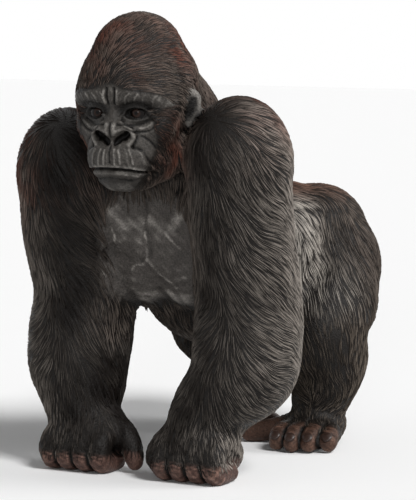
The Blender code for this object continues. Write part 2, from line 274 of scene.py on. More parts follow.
skin_mesh = thinned(skin_mesh, ~carved_areas, COATED_TRIANGLES)
skin_mesh.calc_loop_triangles()
print("Thinned skin:", len(skin_mesh.loop_triangles), "triangles")
for where in (face_points, fine_face_points, hand_and_foot_points):
    divide(skin_mesh, where)
    points = coordinates(skin_mesh)
    softer = relaxed(skin_mesh, points, RELAX_ROUNDS)
    place_points(skin_mesh, np.where(where(points)[:, None], softer, points))
skin_mesh.calc_loop_triangles()
print("Divided skin:", len(skin_mesh.loop_triangles), "triangles")

# %% [markdown]
# ## Carving
#
# A sculptor draws wrinkles with a wire loop: each is a soft ridge or groove along a curve. Here a
# mark is a few knots in a flat view of the part (x and z for the face and breast), a width and a
# height in millimetres, and the points near the curve move along their normals.

# %% Carving marks
def curve(knots, count):
    """count points on a Catmull-Rom curve through the knots."""
    knots = np.array(knots, float)
    ends = np.vstack([2 * knots[0] - knots[1], knots, 2 * knots[-1] - knots[-2]])
    t = np.linspace(0, len(knots) - 1, count)
    i = np.minimum(t.astype(int), len(knots) - 2)
    t = (t - i)[:, None]
    a, b, c, d = (ends[i + k] for k in range(4))
    return b + 0.5 * t * (c - a + t * (2 * a - 5 * b + 4 * c - d + t * (3 * (b - c) + d - a)))


def mark_relief(flat, marks):
    """The sum of height exp(-(distance / width)^2) over marks, for places in the marks' flat view."""
    total = np.zeros(len(flat))
    for knots, width, height in marks:
        path = curve(knots, 5 * len(knots))
        near = np.all((flat > path.min(0) - 3 * width) & (flat < path.max(0) + 3 * width), axis=1)
        some = flat[near]
        distance = np.full(len(some), np.inf)
        for a, b in zip(path, path[1:]):
            along = np.clip((some - a) @ (b - a) / max((b - a) @ (b - a), 1e-9), 0, 1)
            gap = np.linalg.norm(some - a - along[:, None] * (b - a), axis=1)
            distance = np.minimum(distance, gap)
        total[near] += height * np.exp(-(distance / width) ** 2)
    return total


def carve(mesh, flat, chosen, marks, crinkle):
    """Carves marks and a crinkle, a size and a height, into chosen points; returns the moves."""
    points = coordinates(mesh)
    normals = coordinates(mesh, "normal")
    size, height = crinkle
    moved = np.where(chosen, mark_relief(flat, marks) + height * ripple(points / MM, size), 0)
    place_points(mesh, points + normals * moved[:, None] * MM)
    return moved


SAMPLE_MARK = ([(-1, 0), (1, 0)], 1.0, 1.0)
SAMPLE_PLACES = np.array([(0, 0), (0, 1), (0, 2)])
print("A mark's height 0, 1 and 2 widths beside it:", mark_relief(SAMPLE_PLACES, [SAMPLE_MARK]).round(2))

# %% [markdown]
# The face is stern. The brow is heavy and has slanting wrinkles, and the eyes lie deep between a
# thick upper lid and two pouches. Marks like these come in pairs, so they are drawn for one side and
# take the side's sign.

# %% Marks of eyes and brow
BROW_FOLDS = ((8.5, 0.5), (11.5, 0.25), (15.5, 0.5), (18, 0.2), (22, 0.4), (27.5, 0.3), (34, 0.3))


def eye_marks(side):
    """The lids, the pouch below and the opening between the lids."""
    return [([(side * 12.5, -4.2), (side * 20.5, -4.2)], 3.0, -2.6),
            ([(side * 7.5, -6), (side * 11, -0.6), (side * 17, 1.6), (side * 23, -0.4),
              (side * 26.5, -5.5)], 1.2, 1.9),
            ([(side * 7.5, -6.4), (side * 12, -9.4), (side * 18, -10), (side * 24, -8),
              (side * 27, -5)], 1.0, 1.3),
            ([(side * 8, -9), (side * 13, -12.4), (side * 20, -13), (side * 28, -9)], 0.9, -1.1),
            ([(side * 9, -11.5), (side * 15, -15.4), (side * 23, -15.6), (side * 31, -10)], 1.2, 0.6),
            ([(side * 11, -15), (side * 18, -18.6), (side * 27, -17.5), (side * 33, -11)], 0.9, -1.0),
            ([(side * 24, -3), (side * 29, -5.5), (side * 33, -6)], 0.9, -0.9),
            ([(side * 24, -1), (side * 29, -1.5), (side * 34, -0.5)], 0.8, -0.8)]


def brow_marks(side):
    """Slanting wrinkles on one half of the brow, and the frown beside the middle."""
    marks = [([(side * 3.1, 15), (side * 3.3, 9), (side * 2.6, 3)], 1.0, -1.6),
             ([(side * 5.6, 13), (side * 5.8, 8), (side * 5, 3.5)], 1.2, 0.9)]
    for x, height in BROW_FOLDS:
        top, foot = 14.5 - 0.12 * x - 3 * height, 5.2 - 0.12 * x
        marks.append(([(side * x, top), (side * (x - 1.6 - 2 * height), top / 2 + foot / 2 + 1),
                       (side * (x - 4.2), foot)], 0.8, height))
    return marks


print("Marks round each eye:", len(eye_marks(1)), "and on each half of the brow:", len(brow_marks(1)))

# %% [markdown]
# The nose is broad with two dark comma-shaped nostrils. Below it come the upright folds of the upper
# lip and a long closed mouth. These folds and the mouth aren't mirrored: a face that is the same on
# both sides looks like a mask.

# %% Carve the face
FACE_CRINKLE = (1.9, 0.20)
LIP_FOLDS = ((-20.5, 0.3), (-15.5, 0.6), (-9.5, 0.55), (-5, 0.75), (4, 0.6), (8, 0.75), (13.5, 0.35),
             (16.5, 0.6), (23, 0.3))


def nose_marks(side):
    """Nostril, nose wing and the tip's half."""
    return [([(side * 3.6, -26.6), (side * 8, -23.4), (side * 12.6, -20.6)], 1.9, -4.0),
            ([(side * 11, -23.5), (side * 13, -20.5)], 1.8, -2.2),
            ([(side * 6, -12.5), (side * 13, -12.8), (side * 18.5, -17), (side * 20, -23),
              (side * 17, -29.5)], 1.1, -1.7),
            ([(side * 5, -18), (side * 11, -16.2), (side * 16, -19), (side * 17, -24),
              (side * 13.5, -28.6)], 1.5, 0.8),
            ([(side * 2.8, -13), (side * 3.2, -17), (side * 2.6, -20)], 1.7, 0.9),
            ([(side * 2.4, 1), (side * 4.2, -6), (side * 5.4, -11)], 1.1, -0.4)]


def cheek_marks(side):
    """The fold from the nose to the corner of the mouth, and two weaker ones outside it."""
    return [([(side * 17, -30), (side * 23, -33), (side * 26.5, -40), (side * 27, -48)], 1.2, -1.6),
            ([(side * 22, -22), (side * 28, -28), (side * 31, -38)], 1.0, -1.0),
            ([(side * 24, -34), (side * 29, -42), (side * 29.5, -50)], 1.2, 0.7),
            ([(side * 14, -57), (side * 21, -55), (side * 26, -52)], 1.2, -0.8)]


def face_marks():
    """All marks of the face, in x and z on the head."""
    marks = [([(0, -12), (0, -17), (0, -23)], 0.9, -0.9),
             ([(0, -29), (-0.4, -35), (0, -42)], 1.1, -1.0),
             ([(-26, -49.8), (-14, -47.8), (0, -47.4), (14, -48.4), (26, -51.8)], 0.9, -2.6),
             ([(-22, -46.4), (-12, -45), (0, -44.8), (12, -45.4), (22, -48)], 1.3, 0.8),
             ([(-18, -51.6), (-9, -50.8), (0, -50.6), (9, -51.2), (18, -53)], 1.3, 0.6),
             ([(-13, -56.6), (0, -55.2), (13, -57.2)], 1.8, -1.1),
             ([(-7, -62), (2, -61), (9, -62)], 4.5, 0.8)]
    for x, height in LIP_FOLDS:
        top, foot = -30.5 - 3 * height, -45 + 3 * height
        marks.append(([(x * 0.86, top), (x, -37), (x * 1.06, foot)], 0.95, height))
    for side in (1, -1):
        marks += eye_marks(side) + brow_marks(side) + nose_marks(side) + cheek_marks(side)
    return marks


points = coordinates(skin_mesh)
head = into(HEAD, points)
front = face_points(points) & (head[:, 1] < -27)
face_relief = carve(skin_mesh, head[:, ::2], front, face_marks(), FACE_CRINKLE)
print("Face relief in millimetres:", face_relief.min().round(2), "to", face_relief.max().round(2))

# %% [markdown]
# The fists stand on the middle joints of the fingers, whose skin is thick and creased, and the toes
# have creases too. The breast is bare and leathery, with two broad muscles, soft folds below them
# and a vein that comes down the breastbone and forks like an inverted Y.

# %% Carve the hands, feet and breast
BREAST_CRINKLE = (3.0, 0.26)
LIMB_CRINKLE = (2.4, 0.22)
FINGERS = (-23.4, -7.8, 7.8, 23.4)
TOES = (-18.1, -3.6, 11.0, 25.7)


def finger_marks():
    """Clefts between the fingers and creases across each, in x and z on the fist."""
    marks = [([(x, 1), (x, 9), (x * 0.96, 19)], 1.5, -2.0) for x in (-15.6, 0, 15.6)]
    for x in FINGERS:
        for z, depth in ((12.5, -0.5), (15.5, -0.7), (18.5, -0.7), (21.5, -0.5)):
            marks.append(([(x - 5.5, z), (x, z + 1.4), (x + 5.5, z)], 0.8, depth))
    return marks


def toe_marks():
    """Clefts between the toes and creases across each, in x and y on the foot."""
    marks = [([(x, -20), (x * 1.02, -32), (x * 1.04, -46)], 1.6, -1.8) for x in (-10.9, 3.7, 18.4)]
    for x in TOES:
        for y in (-27, -31, -34.5):
            marks.append(([(x - 4.5, y), (x, y - 1), (x + 4.5, y)], 0.8, -0.6))
    return marks


# In x and z on the drawing: the groove of the breastbone, the lower edges of the muscles and their
# swell, the forking vein and two single ones, then the folds below.
BREAST_MARKS = [
    ([(-1, 226), (-2, 200), (-1, 176)], 2.4, -0.5),
    ([(-38, 186), (-24, 172), (-8, 173), (-1, 178)], 4.0, -0.3),
    ([(36, 186), (22, 172), (7, 173), (-1, 178)], 4.0, -0.3),
    ([(-34, 210), (-20, 200), (-6, 204)], 6.0, 0.9),
    ([(32, 210), (18, 198), (4, 204)], 6.0, 0.9),
    ([(-3.5, 195), (-3, 184), (-4.5, 172)], 1.0, 0.5),
    ([(-4.5, 172), (-10, 168), (-17, 167), (-21, 162)], 1.0, 0.5),
    ([(-4.5, 172), (0, 167), (4, 161), (13, 155), (18, 150)], 1.0, 0.5),
    ([(-34, 198), (-32, 191), (-33, 185), (-30, 178)], 1.0, 0.45),
    ([(16, 196), (22, 188), (27, 183)], 1.0, 0.4),
    ([(-30, 160), (-10, 157), (12, 159), (30, 163)], 1.8, -0.35),
    ([(-30, 152), (-8, 148), (14, 151), (30, 156)], 1.8, -0.35),
    ([(-26, 142), (-4, 139), (18, 143)], 1.8, -0.3),
]

points = coordinates(skin_mesh)
drawn = on_drawing(points)
breast = (drawn[:, 1] < 20) & (np.abs(drawn[:, 0]) < 50) & (drawn[:, 2] > 125) & (drawn[:, 2] < 235)
limb_relief = carve(skin_mesh, drawn[:, ::2], breast, BREAST_MARKS, BREAST_CRINKLE)
for side in (1, -1):
    hand = into(hand_frame(side), coordinates(skin_mesh))
    fist = (hand[:, 1] < -14) & (hand[:, 2] < HAND_TOP) & (np.abs(hand[:, 0]) < 40)
    limb_relief += carve(skin_mesh, hand[:, ::2], fist, finger_marks(), LIMB_CRINKLE)
    foot = into(foot_frame(side), coordinates(skin_mesh))
    toes = (foot[:, 1] < -16) & (foot[:, 2] < FOOT_TOP) & (np.abs(foot[:, 0]) < 36) & (foot[:, 2] > 2)
    limb_relief += carve(skin_mesh, foot[:, :2], toes, toe_marks(), LIMB_CRINKLE)
print("Carved", int((limb_relief != 0).sum()), "points on hands, feet and breast")

# %% [markdown]
# ## Bare skin and coat
#
# A mask says where the coat ends. Bare are the face from the brow to the chin, the ears, the breast,
# the fingers and the toes. The edges are ragged, as the ends of the sculptor's strands are.

# %% Bare places
BARE_EAR = ((46, -11, 0), (9, 11, 17))


def bare(points, normals):
    """1 on bare skin and 0 under the coat, for points in metres."""
    head = into(HEAD, points)
    x, y, z = head.T
    ragged = 2.5 * ripple(points / MM, 9)
    egg = ((x + 1) / (31 - 0.12 * np.maximum(-20 - z, 0))) ** 2 + ((z + 26) / 43) ** 2
    face = smoothstep(1.12, 0.92, egg + ragged * 0.02) * smoothstep(-24, -32, y)
    ridge = (x / 42) ** 2 + ((z - 6.5 + 0.06 * np.abs(x)) / 9) ** 2
    brow = smoothstep(1.15, 0.85, ridge + ragged * 0.03) * smoothstep(-14, -24, y)
    ears = oval(head, *BARE_EAR) < 1
    dx, dy, dz = on_drawing(points).T
    front = smoothstep(-0.15, -0.5, normals[:, 1])
    plate = (np.abs(dx + 2) / 44) ** 3 + (np.abs(dz - 180) / 50) ** 3
    breast = smoothstep(1.15, 0.8, plate + ragged * 0.03) * front * smoothstep(24, 14, dy)
    fingers = smoothstep(19, 14, dz + ragged * 0.6) * smoothstep(16, 6, dy)
    feet = np.zeros(len(points))
    for side in (1, -1):
        fx, fy, fz = into(foot_frame(side), points).T
        near = (np.abs(fx + 10) < 62) & (np.abs(fy) < 70)
        toes = np.maximum(smoothstep(-22, -29, fy + ragged), smoothstep(-24, -34, fx + ragged))
        feet = np.maximum(feet, near * toes * smoothstep(26, 20, fz))
    return np.clip(np.maximum.reduce([face, brow, ears, breast, fingers, feet]), 0, 1)


points, normals = coordinates(skin_mesh), coordinates(skin_mesh, "normal")
bare_skin = bare(points, normals)
print("Bare share of the skin's points:", bare_skin.mean().round(3))

# %% [markdown]
# ## Paint on the skin
#
# Acrylic paints are mixed for each region: a base and a lighter brushed colour. Fingers and toes are
# brown, face and breast grey. Colours are picked as hex codes and turned into linear light, which
# mixes as real paint in real light does, and they are stored on the points of the mesh.

# %% Paints
def linear(text):
    """Linear red, green and blue of an sRGB hex colour."""
    srgb = np.array([int(text[k:k + 2], 16) / 255 for k in (1, 3, 5)])
    return np.where(srgb <= 0.04045, srgb / 12.92, ((srgb + 0.055) / 1.055) ** 2.4)


UNDERCOAT = linear("#14110f")
WASH = linear("#0b0908")
FACE_BASE, FACE_BRUSHED = linear("#312e2b"), linear("#7e7a75")
BREAST_BASE, BREAST_BRUSHED = linear("#403c39"), linear("#98938d")
FINGER_BASE, FINGER_BRUSHED = linear("#3e2c27"), linear("#7f6358")
TOE_BASE, TOE_BRUSHED = linear("#36261f"), linear("#6e5346")


def blend(a, b, share):
    """a and b mixed, for shares given one a row."""
    return a + (b - a) * np.reshape(share, (-1, 1))


def paint(mesh, colours):
    """Stores a colour for each point of a mesh, where the materials read it."""
    rows = np.ones((len(mesh.vertices), 4), np.float32)
    rows[:, :3] = colours
    layer = mesh.color_attributes.new("paint", "FLOAT_COLOR", "POINT")
    layer.data.foreach_set("color", rows.ravel())


print("Face paint in linear light: base", FACE_BASE.round(3), "brushed", FACE_BRUSHED.round(3))

# %% [markdown]
# Painters work in three steps. The base colour goes on, thin black runs into the hollows, and a
# nearly dry brush leaves light paint on whatever stands proud. Hollows are found as a painter finds
# them: they are the points that lie below the mean of the skin around them. The chin is painted
# darker, the eye sockets under the brow and the ears get painted shade, and only the rolled rims of
# the ears stay light.

# %% Paint the skin
# Painted shade: a dark oval over each eye socket, under the brow.
EYE_SOCKET_PAINTED_SHADE = ((16.4, -50, -1.5), (16, 16, 11.5))
# Painted shade in the bowls of the ears, and over each whole ear in the EAR_SHADE box.
EAR_BOWL_PAINTED_SHADE = ((42, -14, -1), (6, 8, 9.5))
EAR_RIM = ((41, -17, 2), (43, -14, 9), (47, -10, 12), (50, -6, 8), (50, -6, -1), (46, -8, -9),
           (41, -11, -15))
EAR_SHADE = ((47, -8, 0), (11, 18, 24))
HOLLOW_ROUNDS = 8
BREAST_WASH = 0.45


def ear_rim(points):
    """1 on the rolled rim of the ears, for rows on the head in millimetres, and 0 off it."""
    path = curve(EAR_RIM, 24)
    gap = np.min([np.linalg.norm(folded(points) - place, axis=1) for place in path], axis=0)
    return smoothstep(4.2, 2.8, gap)


def skin_colours(mesh, relief, bare_skin):
    """Base, wash, dry brush and painted shade of sockets and ears for every point of the skin."""
    points, normals = coordinates(mesh), coordinates(mesh, "normal")
    x, y, z = on_drawing(points).T
    hollow = ((relaxed(mesh, points, HOLLOW_ROUNDS) - points) * normals).sum(axis=1) / MM
    ground = (z < 34) & (bare_skin > 0)
    hands, feet = ground & (y < 60), ground & (y >= 60)
    breast = (z < 232) & (z >= 100)
    base = np.tile(FACE_BASE, (len(points), 1))
    brushed = np.tile(FACE_BRUSHED, (len(points), 1))
    for there, plain, light in ((breast, BREAST_BASE, BREAST_BRUSHED),
                                (hands, FINGER_BASE, FINGER_BRUSHED), (feet, TOE_BASE, TOE_BRUSHED)):
        base[there], brushed[there] = plain, light
    mottle = 0.5 + 0.4 * ripple(points / MM, 4.5) + 0.2 * ripple(points / MM, 1.6)
    proud = smoothstep(0.05, 1.5, relief - 2.5 * hollow) * (0.2 + 0.7 * mottle)
    colours = blend(base, brushed, np.clip(proud + 0.08 * mottle, 0, 1))
    wash = smoothstep(0.15, 1.5, 3.0 * hollow - 0.75 * relief) * np.where(breast, BREAST_WASH, 1.0)
    colours = blend(colours, WASH, wash)
    head = into(HEAD, points)
    rim = ear_rim(head)
    colours = blend(colours, FACE_BRUSHED, 0.3 * rim)
    # Painted shade: the eye sockets are darkened under the brow.
    socket = smoothstep(1.25, 0.5, oval(head, *EYE_SOCKET_PAINTED_SHADE))
    chin = smoothstep(-51, -60, head[:, 2]) * (head[:, 2] > -80) * (head[:, 1] < -20)
    # Painted shade over the ears except their rims, darkest in the bowls.
    ear = (1 - rim) * in_box(head, *EAR_SHADE)
    bowl_painted_shade = (1 - rim) * (oval(head, *EAR_BOWL_PAINTED_SHADE) < 1.2)
    dark = np.maximum.reduce([0.9 * socket, 0.45 * chin, 0.85 * ear, bowl_painted_shade])
    return blend(UNDERCOAT, blend(colours, WASH, np.clip(dark, 0, 1)), bare_skin)


paint(skin_mesh, skin_colours(skin_mesh, face_relief + limb_relief, bare_skin))
print("Painted", len(skin_mesh.vertices), "points of skin")

# %% [markdown]
# ## Combing the coat
#
# Hair on a gorilla's arm parts along the front of the limb and sweeps down and back on both sides,
# on the head it fans up from the brow and back over the crest, and on the flanks it hangs down. A
# few guide directions, drawn for the left half and mirrored, are blended by distance and laid along
# the skin. The share that runs backward grows quickly beside a parting, and ripples break it up.

# %% Comb directions
# Each guide has its place on the drawing in millimetres, then the direction in which the hair points.
GUIDES = [
    (6, -68, 318, 0.5, 0.1, 1), (24, -58, 316, 0.9, 0.4, 0.7), (8, -50, 350, 0.35, 0.6, 0.8),
    (10, -20, 368, 0.4, 1, 0), (10, 24, 348, 0.2, 0.8, -0.8), (40, -30, 325, 0.1, 0.9, -0.1),
    (44, -15, 300, 0, 0.8, -0.7), (38, -48, 305, 0.3, 0.9, 0.2), (36, -40, 275, 0, 0.5, -1),
    (28, -45, 248, -0.1, 0.4, -1), (6, -40, 235, 0, 0.5, -1), (20, 40, 300, 0.2, 0.6, -0.9),
    (10, 60, 285, 0.3, 0.8, -0.5), (60, 10, 290, 0.9, 0.2, -0.5), (85, -38, 250, 0.1, 0.6, -1),
    (125, 0, 250, 0, 1.0, -1), (85, 42, 250, -0.1, 0.5, -1), (80, -30, 200, 0, 0.8, -1),
    (120, 5, 190, 0, 1.7, -1), (80, 50, 190, 0, 0.4, -1), (118, 15, 140, 0, 1.8, -1),
    (70, -30, 110, 0, 0.8, -1), (100, 0, 95, 0, 1.6, -1), (60, -20, 60, 0, 0.3, -1),
    (52, -34, 36, 0, -0.1, -1), (45, 0, 150, 0, 0.9, -1), (20, -20, 255, 0.5, 0, -1),
    (66, 70, 190, 0, 0.35, -1), (64, 140, 180, 0.1, 0.1, -1), (60, 190, 170, 0.1, 0.1, -1),
    (20, 100, 226, 0.5, 1, -0.2), (20, 170, 226, 0.4, 1, -0.2), (30, 250, 190, 0.1, 0.3, -1),
    (10, 110, 92, 0.1, 1, 0), (90, 205, 140, 0, 0.3, -1), (60, 165, 125, 0, 0.1, -1),
    (62, 190, 70, 0, 0.3, -1), (54, 215, 40, 0, 0.2, -1), (52, 160, 26, 0.1, -1, -0.5),
]
GUIDE_REACH = 12.0
BACKWARD = np.array((0.0, 1.0, 0.0))
WAVES = ((26.0, 0.40), (10.0, 0.24))


def rows_unit(rows):
    """Rows scaled to length 1."""
    return rows / np.maximum(np.linalg.norm(rows, axis=1, keepdims=True), 1e-9)


def combed(points, normals):
    """The coat's direction along the skin: t = wish - (wish . n) n, turned about n by the waves."""
    drawn = on_drawing(points)
    left = np.array(GUIDES, float)
    guides = np.vstack([left, left * (-1, 1, 1, -1, 1, 1)])
    gaps = sum((drawn[:, k:k + 1] - guides[None, :, k]) ** 2 for k in range(3))
    weights = 1 / (gaps + GUIDE_REACH ** 2) ** 2
    wish = weights @ guides[:, 3:] / weights.sum(axis=1, keepdims=True)
    along = wish - normals * (wish * normals).sum(axis=1, keepdims=True)
    back = BACKWARD - normals * normals[:, 1:2]
    beside = np.linalg.norm(back, axis=1, keepdims=True)
    along += wish[:, 1:2] * back * (1 / np.sqrt(beside + 0.05) - 1)
    turn = sum(share * ripple(drawn + 40 * share, size) for size, share in WAVES)[:, None]
    along = rows_unit(along)
    return along * np.cos(turn) + np.cross(normals, along) * np.sin(turn)


ELBOW = np.array(DRAWING_TO_FRAME) + np.array((118, 15, 140)) * MM
OUTWARD = np.array((1.0, 0.0, 0.0))
print("Beside the left elbow the coat runs along", combed(ELBOW[None], OUTWARD[None])[0].round(2))

# %% [markdown]
# ## Growing the strands
#
# Each strand starts from a root on the skin and takes four steps along the comb direction, and each
# step is brought back to the nearest place on the skin. Every sixth strand is a leader. The others
# are drawn towards the nearest leader along their length, so that they end in the pointed tufts a
# sculptor makes.

# %% Lay strands on the skin
LINKS = 4
LEADER_EVERY = 6
TUFT_PULL = 0.18

SKIN_TREE = BVHTree.FromPolygons(coordinates(skin_mesh).tolist(),
                                 [tuple(t.vertices) for t in skin_mesh.loop_triangles])


def on_skin(points):
    """The nearest place on the skin to each point, and the normal there."""
    found = [SKIN_TREE.find_nearest(p) for p in points.tolist()]
    return np.array([f[0] for f in found]), np.array([f[1] for f in found])


def trace(roots, normals, lengths):
    """Paths of LINKS steps from the roots along the coat, with the normals on the way."""
    places, facing = [roots], [normals]
    for _ in range(LINKS):
        step = combed(places[-1], facing[-1]) * (lengths / LINKS)[:, None]
        place, normal = on_skin(places[-1] + step)
        places.append(place)
        facing.append(normal)
    return np.stack(places, axis=1), np.stack(facing, axis=1)


def gathered(paths):
    """Paths drawn towards the nearest leader's path, more so towards the tip."""
    leaders = np.arange(0, len(paths), LEADER_EVERY)
    tree = KDTree(len(leaders))
    for k, leader in enumerate(leaders):
        tree.insert(paths[leader, 0], k)
    tree.balance()
    nearest = leaders[[tree.find(root)[1] for root in paths[:, 0].tolist()]]
    pull = TUFT_PULL * np.linspace(0, 1, LINKS + 1)[None, :, None] ** 1.3
    return paths + (paths[nearest] - paths) * pull


print("The nearest skin to the left elbow is at", on_skin(ELBOW[None])[0][0].round(4))

# %% [markdown]
# Blender's own hair has no faces, but this coat is cast with the skin. So a strand is a closed
# sliver: three three-sided rings between a sunken root and a pointed tip, with the middle corner of
# each ring raised as the crest that the brush catches. Eighteen triangles are enough for that.

# %% Shape of a strand
RING_WIDTHS = (0.85, 1.0, 0.70)
RING_HEIGHTS = (0.60, 1.0, 0.95)
RING_DEPTH = 0.5 * MM
TIP_HEIGHT = 0.35
GROUND_CLEARANCE = 0.3 * MM
MAP_EDGE = 0.03

# The three sides of a strand: from which corner of a ring (0 left, 1 crest, 2 right) to which, and
# their two edges across the flat map.
STRAND_SIDES = ((1, 0, 0.33, 0.05), (2, 1, 0.62, 0.33), (0, 2, 0.95, 0.68))


def strand_points(paths, facing, widths, lifts):
    """Root, three rings of left, crest and right, and tip, as an array [strand, 11, 3]."""
    points = [paths[:, 0] - facing[:, 0] * RING_DEPTH]
    for k in range(1, LINKS):
        ahead = rows_unit(paths[:, k + 1] - paths[:, k - 1])
        aside = rows_unit(np.cross(facing[:, k], ahead))
        half = (widths * RING_WIDTHS[k - 1] / 2)[:, None]
        lift = (lifts * RING_HEIGHTS[k - 1])[:, None]
        low = paths[:, k] - facing[:, k] * RING_DEPTH
        points += [low + aside * half, paths[:, k] + facing[:, k] * lift, low - aside * half]
    points.append(paths[:, -1] + facing[:, -1] * (lifts * TIP_HEIGHT)[:, None])
    points = np.stack(points, axis=1)
    points[..., 2] = np.maximum(points[..., 2], GROUND_CLEARANCE)
    return points


def strand_faces():
    """Triangles of one strand, outward, and a place for their corners on a small flat map."""
    rings = [[0, 0, 0]] + [[1 + 3 * k, 2 + 3 * k, 3 + 3 * k] for k in range(LINKS - 1)]
    rings.append([3 * LINKS - 2] * 3)
    faces, places = [], []
    for k, (ring, ring2) in enumerate(zip(rings, rings[1:])):
        near, far = (MAP_EDGE + (1 - 2 * MAP_EDGE) * step / LINKS for step in (k, k + 1))
        for start, end, u, v in STRAND_SIDES:
            a, b, a2, b2 = ring[start], ring[end], ring2[start], ring2[end]
            if k == LINKS - 1:
                faces.append((a, a2, b))
                places.append(((u, near), ((u + v) / 2, far), (v, near)))
            else:
                faces.append((a, a2, b2))
                places.append(((u, near), (u, far), (v, far)))
            if 0 < k < LINKS - 1:
                faces.append((a, b2, b))
                places.append(((u, near), (v, far), (v, near)))
    return np.array(faces), np.array(places)


STRAND_FACES, STRAND_PLACES = strand_faces()
print("One strand has", len(STRAND_FACES), "triangles")

# %% [markdown]
# The coat is grown in five pieces: head, two arms, body and legs. Roots are scattered by area and
# thinned to one in a small cell, so that they lie evenly, and the short strands of the head lie
# closer than the long ones of the arms.

# %% Regions of the coat
HEAD_OVAL = ((0, -4, 4), (50, 66, 80))
PICKS_PER_ROOT = 5


def region_of(points):
    """Which part of the coat each point belongs to: 0 head, 1 left arm, 2 right arm, 3 body, 4 legs."""
    x, y, z = on_drawing(points).T
    head = oval(into(HEAD, points), *HEAD_OVAL) < 1
    arm = (np.abs(x) > 37) & (y < 62) | (z < 110) & (y < 60)
    leg = (y > 120) & (z < 150)
    return np.select([head, arm & (x > 0), arm, leg], [0, 1, 2, 4], 3)


def skin_triangles(mesh):
    """Corners of every triangle, and its middle, normal and area."""
    corners = coordinates(mesh)[np.array([t.vertices for t in mesh.loop_triangles])]
    across = np.cross(corners[:, 1] - corners[:, 0], corners[:, 2] - corners[:, 0])
    return corners, corners.mean(axis=1), rows_unit(across), np.linalg.norm(across, axis=1) / 2


CORNERS, MIDDLES, FACING, AREAS = skin_triangles(skin_mesh)
REGIONS = region_of(MIDDLES)
HAIRY = (1 - bare(MIDDLES, FACING)) * ((MIDDLES[:, 2] > 3 * MM) | (FACING[:, 2] > -0.5))


def scattered(region, wanted, cell, dice):
    """Even root places in a region, and the skin's normals there."""
    chances = AREAS * HAIRY * (REGIONS == region)
    picks = dice.choice(len(AREAS), PICKS_PER_ROOT * wanted, p=chances / chances.sum())
    u, v = np.sqrt(dice.random(len(picks))), dice.random(len(picks))
    shares = np.stack([1 - u, u * (1 - v), u * v], axis=1)
    places = (CORNERS[picks] * shares[:, :, None]).sum(axis=1)
    _, first = np.unique(np.floor(places / cell).astype(int), axis=0, return_index=True)
    first = dice.permutation(first)[:wanted]
    return places[first], FACING[picks[first]]


print("Area per region in square centimetres:",
      [round(float((AREAS * HAIRY * (REGIONS == k)).sum() * 1e4)) for k in range(5)])

# %% [markdown]
# The brush leaves its colour on the crests. Most of the coat is near black with brown-grey tips. The
# saddle and flanks are silver, the top of the back is browner, and rust shows on crown, brow, cheeks
# and shoulders. Painted light and shade lie over this: the outsides of the arms are painted lighter
# than their insides, the right arm is painted darker still, and a painted shadow lies in the crease
# between flank and thigh.

# %% Colours of the coat
DEEP, DEEP_SADDLE = linear("#15110f"), linear("#2b2825")
TIP_PLAIN, TIP_SADDLE = linear("#726860"), linear("#b8b1a8")
TIP_ARM, TIP_LEG, TIP_RUST = linear("#968e86"), linear("#73695f"), linear("#784739")
TIP_BACK = linear("#7a5a4c")
# Painted shade on the right arm: its brush is cut by this share.
RIGHT_ARM_PAINTED_SHADE = 0.15
ROOT_SHADE = 0.6
RING_BRUSH = (0.50, 0.95, 1.0)
EDGE_BRUSH, END_BRUSH = 0.10, 0.6

# Middles on the head's frame, and how far the rust spreads, in millimetres.
RUSTY_PLACES = [
    ((-14, -34, 48), 20), ((26, -16, 46), 22), ((12, -52, 24), 12), ((-14, -52, 24), 12),
    ((33, -34, -16), 13), ((32, -30, -36), 15), ((-34, -34, -12), 13), ((-32, -30, -34), 13),
    ((4, -40, 38), 12), ((82, 12, -10), 32), ((-80, 10, -10), 40), ((-95, 20, -60), 34),
    ((0, 30, 45), 18),
]


def coat_colours(points, normals, dice):
    """Deep and tip colours of strands with these roots, and how much brush, with painted light and
    shade.
    """
    x, y, z = on_drawing(points).T
    saddle = smoothstep(44, 70, y) * smoothstep(200, 150, y) * smoothstep(110, 140, z)
    top = smoothstep(206, 222, z) * smoothstep(60, 90, y)
    saddle *= 1 - 0.85 * top
    arm = np.maximum(smoothstep(36, 70, np.abs(x)), smoothstep(120, 100, z)) * smoothstep(70, 40, y)
    leg = smoothstep(150, 120, z) * smoothstep(100, 130, y)
    tips = blend(np.tile(TIP_PLAIN, (len(points), 1)), TIP_ARM, arm)
    tips = blend(blend(tips, TIP_LEG, leg), TIP_SADDLE, saddle)
    tips = blend(tips, TIP_BACK, 0.8 * top)
    local = into(HEAD, points)
    rust = sum(np.exp(-((local - centre) ** 2).sum(axis=1) / reach ** 2)
               for centre, reach in RUSTY_PLACES)
    patchy = 0.8 + 0.6 * ripple(points / MM, 7)
    tips = blend(tips, TIP_RUST, np.clip(rust * patchy, 0, 0.9))
    deep = blend(np.tile(DEEP, (len(points), 1)), DEEP_SADDLE, saddle)
    # Painted light and shade: outsides of the arms brushed lighter, insides darker, the right arm darker
    # still.
    outer_side_painted_light = smoothstep(-0.3, 0.8, normals[:, 0] * np.sign(x))
    shade = 0.85 + 0.22 * ripple(points / MM, 11) + 0.30 * saddle + arm * (0.95 * outer_side_painted_light - 0.60)
    shade -= RIGHT_ARM_PAINTED_SHADE * arm * (x < 0)
    # A painted shadow in the crease between flank and thigh.
    crease_painted_shadow = np.exp(-((y - 124 - 0.2 * (z - 150)) / 8) ** 2) * smoothstep(185, 165, z)
    shade *= 1 - 0.75 * crease_painted_shadow * (np.abs(x) > 40)
    brush = np.clip(shade * (0.20 + 0.75 * dice.random(len(points))), 0, 1)
    return deep, tips, brush


